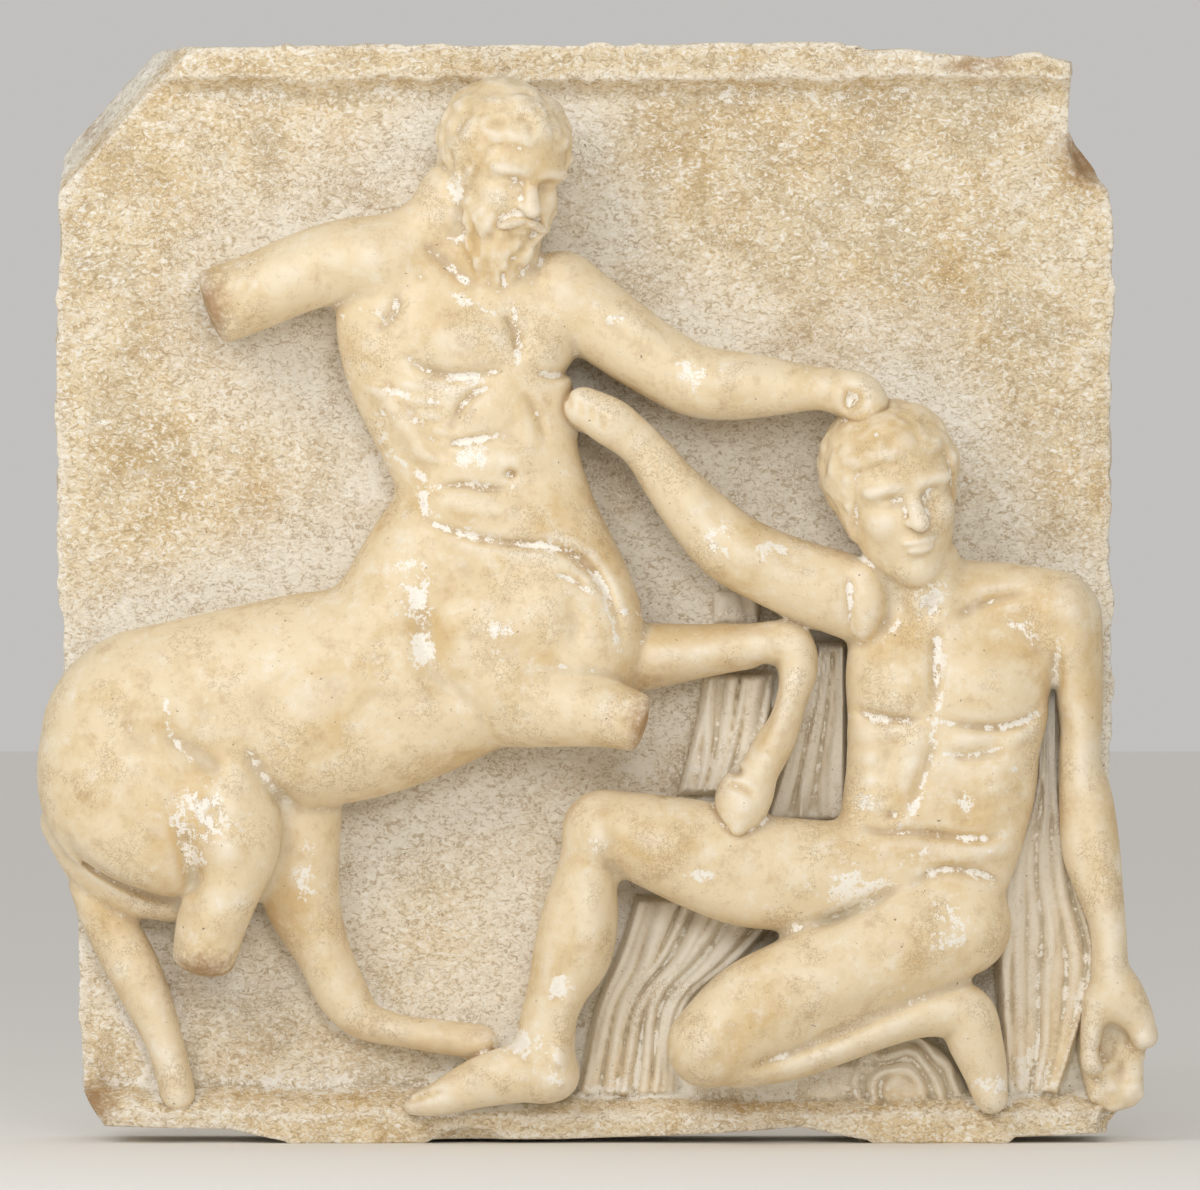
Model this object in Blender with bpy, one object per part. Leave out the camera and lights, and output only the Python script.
"""A carved marble panel from a temple frieze: a centaur grips the hair of a kneeling man.

Metres, +Z up, the carved face looks along -Y. The block is one solid. Its carving is laid out
on a drawing of squares, SQUARES_HIGH of them from the bed to the top edge: u runs to the right,
v runs down, and f stands out from the ground of the relief. The stone is worked out as a field
that is positive inside, and its zero surface becomes the mesh.
"""

import bmesh
import bpy
import numpy as np
import openvdb

# Driving dimensions, in metres
PANEL_HEIGHT = 1.321
PANEL_WIDTH = 1.274
SLAB_DEPTH = 0.115
RELIEF_DEPTH = 0.215
FASCIA_HEIGHT = 0.044
FASCIA_PROJECTION = 0.030
LEDGE_HEIGHT = 0.050
LEDGE_PROJECTION = 0.066
GROUND_WAVE = 0.005

# The drawing
SQUARES_HIGH = 1101.0
SQUARE = PANEL_HEIGHT / SQUARES_HIGH
BED_V = 1143.0
TOP_V = BED_V - SQUARES_HIGH
MID_U = 585.0
FIGURE_DEPTH = 192.3
DEPTH_STRETCH = RELIEF_DEPTH / SQUARE / FIGURE_DEPTH
BACK_Y = (SLAB_DEPTH + RELIEF_DEPTH) / 2

# How finely the stone is cut
STEP = 4.0
TRIANGLES = 9200
EMPTY = -40.0
MARGIN = 14.0

# How stone runs into stone, in squares
LIMB_BLEND = 9.0
FIGURE_BLEND = 3.0
ROOTED = 16.0
SMOOTH = 1
CLOAK_FOLDS = 0.6


def squares(metres):
    """A length in drawing squares."""
    return metres / SQUARE


def forward(metres):
    """A height in front of the ground in drawing squares, before the figures' depth is set."""
    return metres / SQUARE / DEPTH_STRETCH


def smooth_max(a, b, blend):
    """The union of two fields, with their meeting rounded over the blend."""
    overlap = np.maximum(blend - np.abs(a - b), 0.0) / blend
    return np.maximum(a, b) + overlap * overlap * blend * 0.25


def spline(stations, pieces):
    """Rows between the given ones, on a smooth curve through them."""
    rows = np.asarray(stations, float)
    ends = np.vstack([2 * rows[0] - rows[1], rows, 2 * rows[-1] - rows[-2]])
    made = []
    for i in range(len(rows) - 1):
        a, b, c, d = ends[i:i + 4]
        for t in np.arange(pieces) / pieces:
            made.append(0.5 * (2 * b + (c - a) * t + (2 * a - 5 * b + 4 * c - d) * t * t
                               + (3 * b - 3 * c + d - a) * t ** 3))
    return np.array(made + [rows[-1]])


def noise(u, v, size, seed):
    """Smooth noise from -1 to 1 over the drawing, with lumps of about the given size."""
    table = np.random.default_rng(seed).uniform(-1, 1, (64, 64))
    x, y = u / size, v / size
    i, j = np.floor(x).astype(int), np.floor(y).astype(int)
    s, t = x - i, y - j
    s, t = s * s * (3 - 2 * s), t * t * (3 - 2 * t)
    low = table[i % 64, j % 64] * (1 - s) + table[(i + 1) % 64, j % 64] * s
    high = table[i % 64, (j + 1) % 64] * (1 - s) + table[(i + 1) % 64, (j + 1) % 64] * s
    return low * (1 - t) + high * t


def lumps(x, y, z, size, seed):
    """Smooth noise in space from -1 to 1, with lumps of about the given size."""
    table = np.random.default_rng(seed).uniform(-1, 1, (32, 32, 32))
    cells, parts = [], []
    for value in (x, y, z):
        cell = np.floor(value / size).astype(int)
        part = value / size - cell
        cells.append(cell)
        parts.append(part * part * (3 - 2 * part))
    total = 0.0
    for corner in range(8):
        bits = (corner & 1, corner >> 1 & 1, corner >> 2 & 1)
        weight = 1.0
        for bit, part in zip(bits, parts):
            weight = weight * (part if bit else 1 - part)
        total = total + weight * table[tuple((cell + bit) % 32 for bit, cell in zip(bits, cells))]
    return total


def turned(roll, yaw, pitch):
    """A head's axes (its right, its front, its up) in drawing directions (u, f, up)."""
    r, y, p = np.radians([roll, yaw, pitch])
    spin = np.array([[np.cos(r), 0, np.sin(r)], [0, 1, 0], [-np.sin(r), 0, np.cos(r)]])
    look = np.array([[np.cos(y), -np.sin(y), 0], [np.sin(y), np.cos(y), 0], [0, 0, 1]]).T
    nod = np.array([[1, 0, 0], [0, np.cos(p), np.sin(p)], [0, -np.sin(p), np.cos(p)]])
    return (spin @ look @ nod).T


class Stone:
    """A field over the drawing and its depth, positive where there is stone."""

    def __init__(self, step):
        self.step = step
        low = np.array([20.0, TOP_V - 12.0, -squares(SLAB_DEPTH) - 12.0])
        high = np.array([1180.0, BED_V + 12.0, FIGURE_DEPTH + 14.0])
        self.low = np.floor(low / step) * step
        count = np.ceil((high - self.low) / step).astype(int) + 1
        self.u, self.v, self.f = (lo + np.arange(n) * step for lo, n in zip(self.low, count))
        self.field = np.full(count, EMPTY, np.float32)
        self.carved = np.zeros(count[:2], np.float32)

    def plan(self):
        """The drawing's u and v at every column of the field."""
        return np.meshgrid(self.u, self.v, indexing="ij")

    def box(self, low, high):
        """Slices of the field that hold the box and a margin."""
        found = []
        for axis, lo, hi in zip((self.u, self.v, self.f), low, high):
            first = int(np.searchsorted(axis, lo - MARGIN))
            last = int(np.searchsorted(axis, hi + MARGIN))
            found.append(slice(first, max(last, first + 1)))
        return tuple(found)

    def places(self, where):
        """The u, v and f of every cell in the slices."""
        axes = (axis[part] for axis, part in zip((self.u, self.v, self.f), where))
        return np.meshgrid(*axes, indexing="ij", sparse=True)

    def join(self, where, field, blend=LIMB_BLEND):
        self.field[where] = smooth_max(self.field[where], field.astype(np.float32), blend)

    def limb(self, stations, caps=(1.0, 1.0), power=2.0, free=False, blend=LIMB_BLEND):
        """Stone round a line. A station is (u, v, half width, depth of axis, half thickness)."""
        rows = spline(stations, 6)
        reach = rows[:, 2].max()
        low = [rows[:, 0].min() - reach, rows[:, 1].min() - reach, -ROOTED - 10]
        high = [rows[:, 0].max() + reach, rows[:, 1].max() + reach, (rows[:, 3] + rows[:, 4]).max()]
        where = self.box(low, high)
        u, v = np.meshgrid(self.u[where[0]], self.v[where[1]], indexing="ij")
        across, axis, thick, width = nearest_station(u, v, rows, caps)
        f = self.f[where[2]][None, None, :]
        axis, thick, width, across = (a[:, :, None] for a in (axis, thick, width, across))
        rear = thick if free else axis + ROOTED
        deep = np.where(f > axis, (f - axis) / thick, (axis - f) / rear)
        slope_deep = np.where(f > axis, thick, rear)
        if power == 2.0:
            whole = np.sqrt(across * across + deep * deep) + 1e-6
            slope = np.sqrt((across / width) ** 2 + (deep / slope_deep) ** 2) / whole
        else:
            whole = (across ** power + deep ** power) ** (1 / power) + 1e-6
            slope = np.sqrt((across ** (power - 1) / width) ** 2
                            + (deep ** (power - 1) / slope_deep) ** 2) / whole ** (power - 1)
        self.join(where, (1 - whole) / np.maximum(slope, 1 / 120), blend)

    def ball(self, u, v, f, ru, rv, rf, blend=LIMB_BLEND):
        """A rounded mass with the given centre and half sizes."""
        where = self.box([u - ru, v - rv, f - rf], [u + ru, v + rv, f + rf])
        gu, gv, gf = self.places(where)
        self.join(where, ellipsoid(gu - u, gv - v, gf - f, (ru, rv, rf)), blend)

    def eased(self, times):
        """Rounds the small ridges between the pieces of each limb."""
        for axis in (0, 1, 2) * times:
            rolled = np.moveaxis(self.field, axis, 0)
            rolled[1:-1] = 0.25 * (rolled[:-2] + rolled[2:]) + 0.5 * rolled[1:-1]

    def raise_by(self, plan):
        """Moves the surface out by a height given over the drawing, in squares."""
        self.carved += plan

    def finished(self):
        return self.field + self.carved[:, :, None]


def nearest_station(u, v, rows, caps):
    """For each column: its share of the half width, and the axis depth, thickness and width there."""
    best = np.full(u.shape, 1e9)
    axis, thick, width, nearest = (np.zeros(u.shape) for _ in range(4))
    for i in range(len(rows) - 1):
        a, b = rows[i], rows[i + 1]
        t = along_segment(u, v, a, b)[0]
        here = a[2] + (b[2] - a[2]) * t
        share = np.hypot(u - a[0] - (b[0] - a[0]) * t, v - a[1] - (b[1] - a[1]) * t) / here
        closer = share < best
        best = np.where(closer, share, best)
        width = np.where(closer, here, width)
        axis = np.where(closer, a[3] + (b[3] - a[3]) * t, axis)
        thick = np.where(closer, a[4] + (b[4] - a[4]) * t, thick)
        nearest = np.where(closer, i, nearest)
    for end, before, cap, close in ((rows[0], rows[1], caps[0], nearest < 10),
                                    (rows[-1], rows[-2], caps[1], nearest > len(rows) - 12)):
        if cap != 1.0:
            past, side = along_segment(u, v, end, before)[1:]
            capped = np.hypot(side, np.minimum(past, 0) / cap) / end[2]
            best = np.where(close & (past < 0), capped, best)
    return best, axis, thick, width


def along_segment(u, v, a, b):
    """The nearest share of the way from a to b, the length along it, and the offset to its side."""
    du, dv = b[0] - a[0], b[1] - a[1]
    length = max(np.hypot(du, dv), 1e-6)
    along = ((u - a[0]) * du + (v - a[1]) * dv) / length
    side = ((v - a[1]) * du - (u - a[0]) * dv) / length
    return np.clip(along / length, 0, 1), along, side


def ellipsoid(x, y, z, radii):
    """About the distance inside an ellipsoid round the origin."""
    a, b, c = radii
    share = np.sqrt((x / a) ** 2 + (y / b) ** 2 + (z / c) ** 2)
    slope = np.sqrt((x / a ** 2) ** 2 + (y / b ** 2) ** 2 + (z / c ** 2) ** 2)
    return share * (1 - share) / np.maximum(slope, 1e-6)


def line_distance(u, v, points):
    """The distance over the drawing from a smooth line through the points, and the share of its
    length at the nearest place."""
    rows = spline(points, 5)
    best = np.full(u.shape, 1e9)
    share = np.zeros(u.shape)
    count = len(rows) - 1
    for i in range(count):
        du, dv = rows[i + 1, :2] - rows[i, :2]
        length = max(np.hypot(du, dv), 1e-6)
        t = np.clip(((u - rows[i, 0]) * du + (v - rows[i, 1]) * dv) / length ** 2, 0, 1)
        away = np.hypot(u - rows[i, 0] - du * t, v - rows[i, 1] - dv * t)
        closer = away < best
        best = np.where(closer, away, best)
        share = np.where(closer, (i + t) / count, share)
    return best, share


def groove(u, v, points, width, depth):
    """A soft channel along a line, shallower at its ends."""
    away, share = line_distance(u, v, points)
    fade = np.clip(np.minimum(share, 1 - share) / 0.42, 0, 1)
    fade = fade * fade * (3 - 2 * fade)
    return -depth * fade * np.exp(-(away / width) ** 2)


def swelling(u, v, at, half, height, turn=0.0):
    """A soft oval bump."""
    c, s = np.cos(np.radians(turn)), np.sin(np.radians(turn))
    x, y = (u - at[0]) * c + (v - at[1]) * s, (v - at[1]) * c - (u - at[0]) * s
    return height * np.exp(-((x / half[0]) ** 2 + (y / half[1]) ** 2) ** 1.3)


# The block

# Bites broken out of its edges: centre and half sizes in squares
CHIPS = ((1112, 140, 30, 48, 52, 70), (1000, 44, 40, 30, 12, 34), (882, 40, 36, 16, 10, 30),
         (470, 1144, 66, 44, 18, 26), (1120, 1125, 60, 24, 26, 40),
         (800, 1146, 70, 60, 16, 24), (506, 70, 34, 9, 12, 12))


def edge_distance(u, v):
    """How far a column lies inside the block's broken outline, in squares."""
    half = squares(PANEL_WIDTH) / 2
    left = MID_U - half + np.interp(v, (190, 330, 500, 640, 700, 760, 800, 870, 905, 1090),
                                    (4, 0, -1, 6, 5, -12, -9, 6, 21, 25))
    right = MID_U + half + np.interp(v, (128, 158, 188, 240, 300, 700, 790, 850, 970, 1100, 1125),
                                     (-44, -26, -4, 0, -2, -2, -5, 2, 8, 12, -8))
    top = TOP_V + np.interp(u, (150, 400, 840, 872, 905, 990, 1040, 1070),
                            (4, 2, 0, 8, 6, 16, 9, 20))
    bed = BED_V - np.interp(u, (100, 230, 285, 300, 415, 432, 560, 700, 800, 868, 880, 1000, 1015, 1110),
                            (17, 14, 2, -8, -8, 4, 4, 9, 16, 3, -8, -8, 6, 10))
    rough = 2.0 * noise(u, v, 26, 3) + 1.2 * noise(u, v, 11, 4)
    edge = np.minimum(np.minimum(u - left, right - u), np.minimum(v - top, bed - v))
    edge = np.minimum(edge, corner_cut(u, v, 80, 1090, 108, 1130))
    return edge + np.where(v < 1080, rough, 0)


def corner_cut(u, v, u0, v0, u1, v1):
    """The distance from a straight break, on the side towards the middle of the panel."""
    length = np.hypot(u1 - u0, v1 - v0)
    side = ((u1 - u0) * (v - v0) - (v1 - v0) * (u - u0)) / length
    middle = (u1 - u0) * (600 - v0) - (v1 - v0) * (MID_U - u0)
    return side * np.sign(middle)


def ground_height(u, v):
    """The front of the block behind the figures, in squares in front of the ground."""
    wave = forward(GROUND_WAVE)
    height = wave * (0.6 * noise(u, v, 120, 5) + 0.4 * noise(u, v, 45, 6))
    ragged = 2.6 * noise(u, 0 * v, 38, 61) + 2.0 * noise(u, 0 * v, 12, 62)
    under = TOP_V + squares(FASCIA_HEIGHT)
    steps = (under - 2, under + 4, under + 12, under + 20)
    fascia = forward(FASCIA_PROJECTION) * np.interp(v + ragged, steps, (1, 0.5, 0.12, 0))
    fascia *= np.clip((u - 120) / 90, 0, 1)
    over = BED_V - squares(LEDGE_HEIGHT)
    ledge = forward(LEDGE_PROJECTION) * np.interp(v + 0.7 * ragged, (over - 14, over, over + 12), (0, 0.7, 1))
    ledge -= np.clip(v - over, 0, 40) * 0.2 * (1 + noise(u, v, 40, 8))
    return height + np.maximum(fascia, 0) + np.maximum(ledge, 0)


def block(stone):
    u, v = stone.plan()
    f = stone.f[None, None, :]
    edge = edge_distance(u, v)[:, :, None]
    upper_left = corner_cut(u, v, 150, 42, 56, 150)[:, :, None] - 0.3 * (f + squares(SLAB_DEPTH))
    front = ground_height(u, v)[:, :, None] - f
    back = f + squares(SLAB_DEPTH) + 8
    stone.field[:] = np.minimum(np.minimum(edge, front), np.minimum(back, upper_left))
    for cu, cv, cf, ru, rv, rf in CHIPS:
        where = stone.box([cu - ru, cv - rv, cf - rf], [cu + ru, cv + rv, cf + rf])
        gu, gv, gf = stone.places(where)
        bite = ellipsoid(gu - cu, gv - cv, gf - cf, (ru, rv, rf))
        stone.field[where] = np.minimum(stone.field[where], -bite)


# The centaur

def centaur_trunk(stone):
    stone.limb([(470, 266, 92, 74, 50), (458, 302, 118, 78, 56), (458, 342, 117, 80, 60),
                (466, 387, 106, 80, 60), (478, 432, 97, 78, 58), (492, 476, 90, 78, 60),
                (512, 520, 84, 78, 62), (530, 560, 80, 78, 64)], caps=(0.35, 0.6), power=2.5)
    stone.limb([(352, 252, 28, 84, 36), (400, 245, 32, 84, 40), (434, 226, 34, 88, 40),
                (452, 196, 32, 94, 38)])
    stone.limb([(488, 285, 48, 84, 46), (497, 225, 44, 98, 42)])


def centaur_right_arm(stone):
    stone.limb([(392, 262, 43, 90, 50), (345, 262, 41, 92, 47), (300, 275, 39, 94, 45),
                (258, 293, 38, 98, 43), (212, 310, 38, 102, 41)], caps=(1, 0.1))


def centaur_left_arm(stone):
    stone.limb([(562, 294, 42, 82, 48), (617, 335, 39, 82, 44), (654, 360, 37, 84, 42),
                (690, 380, 36, 90, 40), (725, 386, 35, 98, 37), (770, 388, 29, 108, 31),
                (825, 390, 19, 120, 24)])
    stone.limb([(830, 391, 20, 120, 24), (858, 400, 25, 132, 26), (868, 418, 18, 138, 20)])


def horse_body(stone):
    stone.limb([(165, 735, 110, 74, 74), (240, 708, 100, 74, 76), (310, 700, 107, 74, 80),
                (370, 690, 105, 74, 80), (430, 665, 105, 74, 78), (480, 645, 100, 74, 74)],
               power=2.3)
    stone.limb([(410, 612, 74, 72, 68), (440, 560, 73, 74, 64), (486, 515, 80, 76, 60)],
               blend=16)
    stone.limb([(520, 545, 80, 76, 62), (540, 600, 93, 80, 68), (544, 645, 97, 84, 68),
                (530, 682, 62, 88, 62)], power=2.2, blend=12)


def horse_hind_quarter(stone):
    stone.limb([(152, 742, 110, 76, 80), (145, 785, 103, 84, 76), (170, 815, 82, 90, 70)],
               power=2.2)
    stone.limb([(225, 800, 58, 112, 50), (232, 842, 50, 122, 46), (230, 880, 36, 124, 42),
                (215, 918, 35, 122, 40), (206, 958, 31, 118, 36)], caps=(1, 0.5))
    stone.limb([(66, 822, 26, 44, 30), (90, 862, 26, 44, 30), (130, 888, 26, 44, 30),
                (170, 902, 20, 44, 26)])


def horse_hind_legs(stone):
    stone.limb([(90, 885, 22, 28, 24), (106, 920, 25, 30, 26), (128, 960, 27, 30, 28),
                (147, 1000, 24, 30, 28), (163, 1040, 19, 32, 26), (173, 1075, 18, 34, 27),
                (178, 1098, 17, 36, 27)], blend=4)
    stone.limb([(296, 806, 46, 44, 44), (296, 850, 44, 44, 42), (302, 900, 38, 44, 38),
                (322, 950, 28, 42, 32), (342, 994, 26, 38, 30), (364, 1020, 20, 36, 27),
                (400, 1031, 16, 34, 24), (440, 1037, 17, 34, 24), (480, 1043, 18, 34, 24)],
               blend=8)
    stone.ball(278, 836, 62, 20, 24, 26)


def horse_fore_legs(stone):
    stone.limb([(515, 702, 44, 104, 50), (560, 705, 41, 122, 46), (600, 711, 35, 134, 40),
                (643, 723, 28, 146, 32)], caps=(1, 0.12), free=True)
    stone.limb([(635, 657, 35, 62, 42), (700, 651, 27, 66, 38), (750, 645, 24, 72, 36),
                (788, 645, 23, 80, 36), (796, 668, 21, 84, 34), (788, 700, 18, 92, 32),
                (775, 738, 20, 102, 32), (758, 770, 20, 112, 32), (742, 798, 28, 120, 34),
                (736, 826, 12, 122, 28)], blend=4)


def centaur_carving(u, v):
    """The muscles, folds and joints of the centaur, as heights over the drawing."""
    carved = centaur_chest(u, v) + centaur_belly(u, v) + horse_folds(u, v)
    carved += swelling(u, v, (640, 330), (28, 12), 5, 35) + swelling(u, v, (740, 382), (34, 18), 5)
    carved += groove(u, v, ((300, 262), (330, 280), (360, 290)), 10, 3)
    carved += swelling(u, v, (372, 262), (20, 26), 5)
    carved += swelling(u, v, (851, 402), (9, 11), -12, 30)
    carved += groove(u, v, ((842, 384), (846, 396), (850, 408)), 4, 4)
    return carved


def centaur_chest(u, v):
    carved = groove(u, v, ((418, 238), (445, 265), (485, 298)), 7, 10)
    carved += groove(u, v, ((500, 310), (515, 335), (519, 366)), 6, 9)
    carved += groove(u, v, ((396, 346), (420, 367), (455, 378), (490, 375), (516, 365)), 7, 11)
    carved += groove(u, v, ((521, 366), (550, 377), (570, 370), (580, 350)), 6, 9)
    carved += groove(u, v, ((396, 288), (398, 308), (388, 326), (370, 340)), 8, 9)
    carved += swelling(u, v, (455, 338), (46, 30), 10, 12) + swelling(u, v, (548, 342), (24, 28), 8)
    carved += groove(u, v, ((506, 383), (480, 393), (462, 410), (450, 440)), 6, 9)
    carved += groove(u, v, ((512, 384), (530, 402), (542, 430), (546, 460)), 6, 5)
    for i in range(5):
        at = (384 + 10 * i, 396 + 15 * i)
        carved += swelling(u, v, at, (17, 7), 7, 24)
        carved += swelling(u, v, (at[0] + 27, at[1] - 8), (13, 6), 4, 14)
    return carved


def centaur_belly(u, v):
    carved = swelling(u, v, (486, 414), (24, 18), 5, -30) + swelling(u, v, (530, 420), (18, 26), 3)
    carved += groove(u, v, ((440, 458), (456, 446), (484, 440), (508, 432)), 5, 7)
    carved += swelling(u, v, (500, 462), (38, 15), 8) + swelling(u, v, (512, 475), (6, 5), -8)
    carved += groove(u, v, ((430, 488), (462, 486), (490, 490), (520, 488)), 5, 9)
    carved += swelling(u, v, (478, 508), (40, 12), 7, 8)
    carved += groove(u, v, ((412, 496), (424, 518), (455, 532), (500, 543), (545, 546), (578, 558),
                            (600, 580), (612, 605), (622, 640), (622, 672)), 6, 11)
    carved += groove(u, v, ((552, 572), (574, 580), (594, 596)), 5, 5)
    return carved


def horse_folds(u, v):
    carved = groove(u, v, ((402, 545), (420, 590), (428, 640), (440, 676), (472, 700), (498, 738)), 16, 14)
    carved += groove(u, v, ((560, 596), (574, 624), (568, 660)), 13, 7)
    carved += swelling(u, v, (490, 640), (40, 44), 7) + swelling(u, v, (500, 690), (30, 24), 9)
    carved += swelling(u, v, (545, 612), (24, 30), 5)
    carved += groove(u, v, ((170, 704), (176, 735), (200, 752), (222, 772), (246, 790)), 12, 12)
    carved += groove(u, v, ((246, 730), (262, 770), (286, 798), (310, 806)), 10, 11)
    carved += groove(u, v, ((172, 800), (188, 840), (196, 880), (192, 905)), 10, 13)
    carved += groove(u, v, ((56, 812), (78, 850), (110, 876), (160, 898), (190, 900)), 6, 9)
    carved += swelling(u, v, (225, 845), (26, 18), 7, 40) + swelling(u, v, (150, 690), (60, 36), 5)
    carved += swelling(u, v, (232, 800), (20, 26), 6)
    carved += groove(u, v, ((330, 690), (380, 720), (400, 760)), 34, 4)
    carved += groove(u, v, ((744, 664), (764, 666), (774, 684), (766, 724), (750, 754)), 6, 7)
    carved += groove(u, v, ((700, 640), (740, 628), (776, 632), (800, 650)), 8, 3)
    carved += groove(u, v, ((722, 782), (740, 786), (760, 800)), 4, 6)
    carved += swelling(u, v, (736, 770), (6, 5), -9)
    return carved


def head(stone, at, size, roll, yaw, pitch, bearded):
    """A head on plain proportions: size is half its height, chin to crown."""
    axes = turned(roll, yaw, pitch)
    reach = size * (1.45 if bearded else 1.12)
    where = stone.box([at[i] - reach for i in range(3)], [at[i] + reach for i in range(3)])
    gu, gv, gf = stone.places(where)
    gu, gv, gf = (gu - at[0]) / size, (at[1] - gv) / size, (gf - at[2]) / size
    x, y, z = (axes[i, 0] * gu + axes[i, 1] * gf + axes[i, 2] * gv for i in range(3))
    side = np.abs(x)

    def mass(cx, cy, cz, radii):
        return ellipsoid(side - cx, y - cy, z - cz, radii)

    face = mass(0, -0.08, 0.26, (0.70, 0.86, 0.72))
    face = smooth_max(face, mass(0, 0.14, -0.24, (0.56, 0.62, 0.72)), 0.12)
    face = smooth_max(face, mass(0, 0.40, -0.80, (0.26, 0.24, 0.19)), 0.16)
    face = smooth_max(face, mass(0.30, 0.50, -0.20, (0.20, 0.22, 0.20)), 0.12)
    face = smooth_max(face, mass(0.24, 0.65, 0.17, (0.26, 0.14, 0.08)), 0.16)
    sockets = mass(0.26, 0.84, 0.03, (0.17, 0.16, 0.10))
    face = -smooth_max(-face, sockets, 0.08)
    face = smooth_max(face, mass(0.26, 0.58, 0.02, (0.13, 0.12, 0.085)), 0.02)
    bridge = np.clip((0.14 - z) / 0.36, 0, 1)
    nose = (0.055 + 0.055 * bridge) - np.sqrt(side ** 2 + (y - 0.68 - 0.22 * bridge) ** 2
                                             + np.maximum(np.abs(z + 0.04) - 0.18, 0) ** 2)
    face = smooth_max(face, nose, 0.05)
    face = smooth_max(face, mass(0.09, 0.80, -0.22, (0.06, 0.08, 0.05)), 0.04)
    face = smooth_max(face, mass(0, 0.72, -0.45, (0.19, 0.09, 0.05)), 0.06)
    face = smooth_max(face, mass(0, 0.70, -0.545, (0.15, 0.09, 0.055)), 0.06)
    hairline = 0.50 - 0.16 * side + 0.02 * np.sin(14 * x)
    behind = smooth_max(z - hairline, 1.1 * side - 0.44 - 0.5 * np.maximum(y, 0) + 0.25 * z, 0.08)
    behind = np.minimum(behind, z + 0.46)
    locks = lumps(x, y, z, 0.24, 41) + 0.6 * lumps(x, y, z, 0.11, 42)
    face = face + np.clip(behind / 0.14, 0, 1) ** 0.7 * (0.07 + (0.05 if bearded else 0.035) * locks)
    if bearded:
        curl = 0.12 * np.sin(5 * z + 3 * x)
        locks = 0.06 * lumps(x + curl, y, 0.4 * z, 0.11, 43) + 0.03 * lumps(x, y, z, 0.1, 44)
        beard = smooth_max(mass(0, 0.34, -0.78, (0.44, 0.44, 0.56)),
                           mass(0, 0.30, -1.14, (0.27, 0.30, 0.42)), 0.1) + locks
        cheek = mass(0.34, 0.34, -0.42, (0.22, 0.34, 0.34)) + locks
        beard = smooth_max(beard, cheek, 0.1)
        mouth = mass(0, 0.86, -0.50, (0.17, 0.14, 0.05))
        beard = -smooth_max(-beard, mouth, 0.03)
        beard = np.minimum(beard, -0.24 - z + 0.3 * side)
        face = smooth_max(face, beard, 0.04)
        moustache = ellipsoid(side - 0.15, y - 0.78, z + 0.39 + 0.35 * side, (0.19, 0.08, 0.06))
        face = smooth_max(face, moustache, 0.02)
    else:
        face = smooth_max(face, mass(0.60, -0.02, -0.02, (0.07, 0.15, 0.20)), 0.03)
    stone.join(where, face * size, 6)


def centaur(stone):
    centaur_trunk(stone)
    centaur_right_arm(stone)
    centaur_left_arm(stone)
    horse_body(stone)
    horse_hind_quarter(stone)
    horse_hind_legs(stone)
    horse_fore_legs(stone)
    stone.eased(SMOOTH)
    head(stone, (503, 172, 108), 84, 5, 30, 16, True)
    stone.raise_by(centaur_carving(*stone.plan()))


# The man

def man_trunk(stone):
    stone.limb([(955, 612, 100, 66, 46), (950, 660, 103, 74, 54), (947, 700, 100, 76, 56),
                (943, 740, 96, 76, 54), (940, 780, 95, 76, 52), (932, 820, 92, 76, 52),
                (925, 862, 86, 76, 50)], caps=(0.36, 0.5), power=2.5)
    stone.limb([(938, 610, 34, 84, 38), (922, 566, 37, 98, 40)])
    stone.limb([(962, 592, 32, 78, 36), (1008, 598, 35, 78, 38), (1052, 612, 42, 78, 44)])


def man_right_arm(stone):
    stone.limb([(634, 440, 19, 108, 24), (650, 457, 23, 104, 27), (672, 486, 27, 100, 32),
                (700, 517, 33, 96, 38), (730, 547, 36, 94, 41), (777, 571, 38, 90, 44),
                (822, 588, 41, 86, 46), (858, 600, 42, 82, 48)])
    stone.limb([(584, 408, 20, 116, 25), (612, 424, 24, 114, 28), (634, 440, 20, 109, 25)])
    stone.limb([(860, 578, 18, 106, 24), (864, 608, 17, 108, 24), (862, 630, 11, 106, 20)], blend=7)


def man_left_arm(stone):
    stone.limb([(1060, 620, 41, 78, 48), (1070, 660, 32, 76, 44), (1078, 710, 24, 72, 38),
                (1079, 760, 21, 70, 35), (1085, 800, 27, 70, 36), (1090, 850, 29, 72, 36),
                (1099, 890, 23, 74, 33), (1107, 930, 18, 76, 29), (1109, 968, 19, 78, 27),
                (1116, 995, 25, 76, 26)])
    stone.limb([(1116, 992, 24, 74, 26), (1132, 1012, 19, 72, 24), (1144, 1034, 13, 68, 20)])
    stone.limb([(1096, 1000, 14, 76, 20), (1091, 1034, 11, 72, 18), (1090, 1062, 10, 68, 16)])
    stone.limb([(1116, 1040, 27, 34, 20), (1114, 1084, 29, 34, 22)], power=3)


def man_raised_leg(stone):
    stone.limb([(603, 829, 40, 106, 45), (650, 839, 46, 106, 48), (700, 854, 54, 100, 50),
                (750, 869, 57, 94, 50), (800, 872, 54, 88, 48), (850, 868, 46, 84, 46),
                (890, 868, 40, 80, 44)], power=2.2, blend=14)
    stone.limb([(604, 832, 38, 106, 44), (588, 872, 31, 104, 41), (580, 915, 38, 100, 42),
                (573, 950, 39, 96, 42), (560, 982, 31, 92, 37), (550, 1012, 28, 88, 34),
                (545, 1045, 30, 86, 35), (545, 1070, 31, 84, 36)])
    stone.limb([(556, 1074, 23, 82, 34), (520, 1072, 29, 82, 32), (480, 1081, 25, 82, 28),
                (440, 1097, 17, 82, 22), (414, 1104, 10, 80, 15)])


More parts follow.
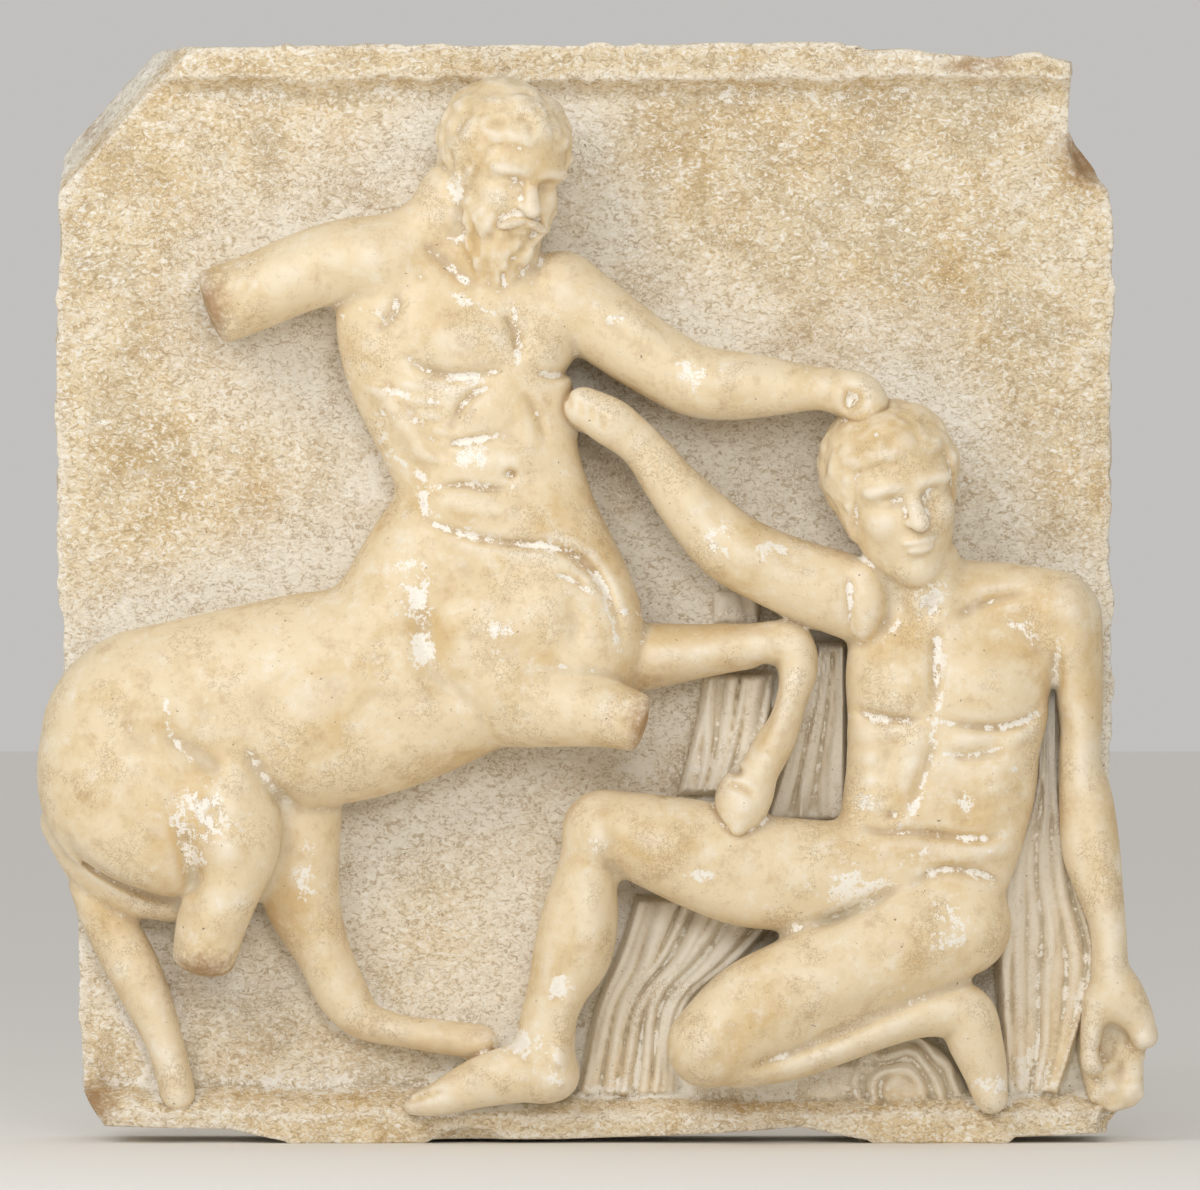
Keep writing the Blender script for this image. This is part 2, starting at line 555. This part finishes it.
def man_kneeling_leg(stone):
    stone.ball(856, 902, 70, 52, 22, 40)
    stone.limb([(708, 1043, 42, 118, 46), (752, 1009, 51, 118, 50), (802, 985, 52, 114, 52),
                (850, 965, 54, 106, 54), (912, 938, 57, 96, 54), (956, 922, 54, 86, 50)],
               power=2.2, blend=16)
    stone.limb([(736, 1066, 20, 100, 42), (790, 1060, 18, 98, 38), (840, 1043, 18, 96, 38),
                (890, 1023, 20, 92, 38), (930, 1009, 26, 88, 38), (962, 1012, 30, 84, 38),
                (975, 1042, 27, 80, 34), (984, 1070, 22, 76, 30), (990, 1096, 17, 72, 26)],
               blend=4)


def man_carving(u, v):
    """The muscles, folds and joints of the man, as heights over the drawing."""
    carved = man_torso_lines(u, v) + man_limb_lines(u, v)
    rough = np.exp(-((u - 1120) / 34) ** 4 - ((v - 1072) / 40) ** 4)
    carved += rough * (6 * noise(u, v, 17, 12) + 3 * noise(u, v, 8, 13))
    return carved


def man_torso_lines(u, v):
    carved = groove(u, v, ((936, 624), (934, 660), (932, 716)), 7, 11)
    carved += groove(u, v, ((932, 716), (928, 752), (914, 790), (900, 824)), 8, 7)
    carved += groove(u, v, ((848, 704), (868, 715), (900, 719), (932, 716)), 6, 10)
    carved += groove(u, v, ((932, 716), (975, 726), (1015, 722), (1044, 702)), 6, 10)
    carved += swelling(u, v, (890, 682), (36, 30), 9) + swelling(u, v, (990, 680), (46, 34), 9)
    carved += groove(u, v, ((940, 624), (975, 606), (1010, 596), (1048, 590)), 7, 7)
    carved += groove(u, v, ((1050, 636), (1054, 680), (1048, 716)), 7, 11)
    for i in range(4):
        carved += swelling(u, v, (1014 - 7 * i, 740 + 23 * i), (24, 10), 5.5 - 0.8 * i, -28)
        carved += swelling(u, v, (864 + 2 * i, 736 + 22 * i), (14, 10), 4, 20)
    carved += swelling(u, v, (966, 740), (24, 10), 4, -4) + swelling(u, v, (898, 742), (18, 12), 3)
    carved += groove(u, v, ((940, 750), (968, 756), (1010, 746)), 7, 5)
    carved += groove(u, v, ((940, 776), (962, 800), (962, 834)), 10, 4)
    carved += swelling(u, v, (978, 782), (28, 16), 4, -20) + swelling(u, v, (906, 778), (18, 22), 4)
    carved += groove(u, v, ((930, 722), (900, 736), (880, 762), (874, 800)), 8, 4)
    carved += swelling(u, v, (890, 814), (8, 7), -5)
    carved += groove(u, v, ((846, 822), (880, 830), (930, 832), (980, 838), (1010, 826)), 6, 8)
    carved += swelling(u, v, (976, 850), (36, 12), 7, -6) + swelling(u, v, (900, 846), (30, 12), 5)
    carved += groove(u, v, ((1012, 886), (978, 872), (940, 868), (904, 884)), 6, 10)
    carved += groove(u, v, ((904, 880), (870, 900), (832, 916), (800, 924)), 7, 13)
    carved += groove(u, v, ((846, 566), (848, 600), (846, 640)), 5, 5)
    carved += groove(u, v, ((884, 570), (888, 606), (880, 640)), 6, 8)
    carved += groove(u, v, ((926, 590), (932, 606), (930, 622)), 6, 6)
    carved += swelling(u, v, (914, 604), (7, 14), 4)
    return carved


def man_limb_lines(u, v):
    carved = groove(u, v, ((596, 850), (612, 866), (640, 876)), 9, 6)
    carved += swelling(u, v, (598, 838), (14, 20), 7) + swelling(u, v, (590, 930), (16, 34), 5)
    carved += groove(u, v, ((572, 900), (562, 960), (554, 1000), (550, 1040)), 9, 5)
    carved += swelling(u, v, (560, 1054), (10, 12), 6) + swelling(u, v, (700, 1040), (20, 24), 6)
    carved += groove(u, v, ((660, 862), (720, 880), (780, 896)), 16, 3)
    carved += groove(u, v, ((742, 1040), (800, 1020), (870, 1000), (940, 976)), 12, 4)
    carved += swelling(u, v, (940, 930), (40, 26), 4) + swelling(u, v, (812, 872), (40, 18), 3)
    carved += groove(u, v, ((698, 476), (716, 504), (712, 536)), 12, 3)
    carved += groove(u, v, ((760, 545), (800, 562), (840, 570)), 10, 4)
    carved += swelling(u, v, (748, 556), (26, 14), 4, 25) + swelling(u, v, (1074, 640), (14, 30), 4)
    carved += groove(u, v, ((1050, 690), (1062, 720), (1068, 770)), 8, 4)
    carved += groove(u, v, ((1078, 810), (1086, 860), (1098, 920)), 8, 3)
    carved += swelling(u, v, (1062, 604), (18, 20), 5)
    for i in range(4):
        carved += groove(u, v, ((568 + 11 * i, 392 + 6 * i), (572 + 11 * i, 414 + 7 * i)), 3.5, 3)
        carved += groove(u, v, ((404 + 9 * i, 1098 - 3 * i), (420 + 9 * i, 1100 - 3 * i)), 2.5, 4)
    return carved


def man(stone):
    man_trunk(stone)
    man_right_arm(stone)
    man_left_arm(stone)
    man_raised_leg(stone)
    man_kneeling_leg(stone)
    stone.eased(SMOOTH)
    head(stone, (893, 494, 108), 90, -13, 12, 10, False)
    stone.raise_by(man_carving(*stone.plan()))


# The cloak

def sheet(stone, left, right, lift, folds, ridge, seed):
    """Hanging cloth between two edges, each a list of (u, v) going down, with uneven folds."""
    left, right = spline(left, 5), spline(right, 5)
    v_top, v_low = max(left[0, 1], right[0, 1]), min(left[-1, 1], right[-1, 1])
    low = [min(left[:, 0].min(), right[:, 0].min()), v_top, -4]
    high = [max(left[:, 0].max(), right[:, 0].max()), v_low, lift + 2 * ridge]
    where = stone.box(low, high)
    u, v = np.meshgrid(stone.u[where[0]], stone.v[where[1]], indexing="ij")
    u0, u1 = np.interp(v, left[:, 1], left[:, 0]), np.interp(v, right[:, 1], right[:, 0])
    across = (u - u0) / np.maximum(u1 - u0, 4)
    down = (v - v_top) / (v_low - v_top)
    raised = fold_heights(u, v, across, down, max(2, round(folds * CLOAK_FOLDS)), seed)
    fade = np.clip(np.minimum(np.minimum(u - u0, u1 - u), np.minimum(v - v_top, v_low - v)) / 7, 0, 1)
    height = (lift + ridge * raised) * np.sqrt(fade)
    edge = np.minimum(np.minimum(u - u0, u1 - u), np.minimum(v - v_top, v_low - v)) * 0.9
    field = np.minimum(height[:, :, None] - stone.f[where[2]][None, None, :], edge[:, :, None])
    stone.join(where, field, 3)


def fold_heights(u, v, across, down, folds, seed):
    """The tallest of a number of rounded ridges that wander as they go down, from 0 to about 1."""
    pick = np.random.default_rng(seed)
    tallest = np.zeros(u.shape)
    for i in range(folds):
        place = (i + 0.5 + pick.uniform(-0.25, 0.25)) / folds
        drift = pick.uniform(-0.5, 0.5) / folds * (down - 0.5)
        wander = 0.4 / folds * noise(u, v, 70, seed + i)
        away = (across - place - drift - wander) * folds / pick.uniform(0.42, 0.62)
        rise = pick.uniform(0.6, 1.0) * (1 + 0.25 * noise(u, v, 45, seed + 20 + i))
        tallest = np.maximum(tallest, rise * np.sqrt(np.clip(1 - away ** 2, 0, 1)))
    return tallest


def cloak(stone):
    sheet(stone, [(704, 672), (694, 730), (676, 797)], [(776, 672), (768, 730), (748, 797)], 12, 6, 15, 11)
    sheet(stone, [(816, 640), (794, 720), (762, 824)], [(850, 620), (850, 720), (850, 824)], 12, 7, 14, 12)
    sheet(stone, [(714, 585), (712, 626)], [(762, 590), (760, 626)], 5, 3, 9, 13)
    sheet(stone, [(1036, 680), (1030, 790), (1004, 860), (996, 960), (1002, 1060), (1008, 1098)],
          [(1064, 680), (1064, 790), (1076, 870), (1098, 950), (1084, 1030), (1060, 1098)], 14, 7, 16, 14)
    sheet(stone, [(640, 880), (618, 950), (594, 1010), (574, 1100)],
          [(800, 896), (744, 960), (690, 1010), (680, 1100)], 12, 9, 16, 15)
    sheet(stone, [(664, 1060), (690, 1106)], [(880, 1030), (940, 1106)], 20, 7, 10, 16)


def cloak_end(stone):
    """The bunched end of the cloak under the shin, in curved folds."""
    u, v = stone.plan()
    away = np.hypot((u - 902) / 60, (v - 1098) / 62)
    turn = np.arctan2(u - 902, 1098 - v)
    ridges = np.sin(2 * np.pi * (3.1 * away + 0.3 * np.sin(1.5 * turn) + 0.3 * noise(u, v, 24, 31)))
    height = 44 + 6 * ridges * np.clip((away - 0.25) / 0.2, 0, 1) - 20 * away ** 2 + 3 * noise(u, v, 14, 32)
    field = np.minimum(height[:, :, None] - stone.f[None, None, :], ((1 - away) * 50)[:, :, None])
    stone.field[:] = smooth_max(stone.field, field.astype(np.float32), 3)


def whole_stone(step):
    """The block with all that is carved on it."""
    made = Stone(step)
    block(made)
    cloak(made)
    cloak_end(made)
    for figure in (centaur, man):
        carved = Stone(step)
        figure(carved)
        made.field = smooth_max(made.field, carved.finished(), FIGURE_BLEND)
    return made


# The mesh

def to_metres(points):
    """Drawing points (u, v, f) as places in metres, with the block's middle over the origin."""
    u, v, f = points.T
    f = np.where(f > 0, f * DEPTH_STRETCH, f)
    middle_u = (u.min() + u.max()) / 2
    ground_f = (BACK_Y - SLAB_DEPTH) / SQUARE
    return np.column_stack([u - middle_u, ground_f - f, BED_V - v]) * SQUARE


def surface_of(stone):
    """The zero surface of the field as points in metres and four-sided faces facing out."""
    grid = openvdb.FloatGrid(background=EMPTY)
    grid.copyFromArray(np.ascontiguousarray(stone.field))
    points, triangles, quads = grid.convertToPolygons(isovalue=0.0, adaptivity=0.0)
    return to_metres(points * stone.step + stone.low), quads


def largest_body(bm):
    """Keeps the biggest connected piece and drops crumbs."""
    left = set(bm.verts)
    pieces = []
    while left:
        ring, found = [left.pop()], set()
        while ring:
            vert = ring.pop()
            found.add(vert)
            for edge in vert.link_edges:
                other = edge.other_vert(vert)
                if other in left:
                    left.discard(other)
                    ring.append(other)
        pieces.append(found)
    pieces.sort(key=len)
    for crumbs in pieces[:-1]:
        bmesh.ops.delete(bm, geom=list(crumbs), context="VERTS")


def marble():
    material = bpy.data.materials.new("ivory_marble")
    material.use_nodes = True
    shader = material.node_tree.nodes["Principled BSDF"]
    shader.inputs["Base Color"].default_value = (0.72, 0.62, 0.45, 1)
    shader.inputs["Roughness"].default_value = 0.5
    shader.inputs["Metallic"].default_value = 0.0
    return material


def cutter():
    """A box whose rear and lower faces are the flat back and the flat bed."""
    size = 2 * max(PANEL_HEIGHT, PANEL_WIDTH)
    bpy.ops.mesh.primitive_cube_add(size=size, location=(0, BACK_Y - size / 2, size / 2))
    box = bpy.context.object
    box.name = "sawn_faces"
    box.hide_render = True
    box.hide_set(True)
    return box


def main():
    for old in list(bpy.data.objects):
        bpy.data.objects.remove(old, do_unlink=True)
    points, quads = surface_of(whole_stone(STEP))
    mesh = bpy.data.meshes.new("metope_block")
    mesh.from_pydata(points.tolist(), [], quads.tolist())
    panel = bpy.data.objects.new("metope_block", mesh)
    bpy.context.scene.collection.objects.link(panel)
    panel.data.materials.append(marble())
    bm = bmesh.new()
    bm.from_mesh(mesh)
    largest_body(bm)
    bmesh.ops.recalc_face_normals(bm, faces=bm.faces)
    bmesh.ops.triangulate(bm, faces=bm.faces)
    bm.to_mesh(mesh)
    count = len(bm.faces)
    bm.free()
    thin = panel.modifiers.new("fewer_facets", "DECIMATE")
    thin.ratio = TRIANGLES / count
    sawn = panel.modifiers.new("sawn_faces", "BOOLEAN")
    sawn.operation = "INTERSECT"
    sawn.object = cutter()


if __name__ == "__main__":
    main()
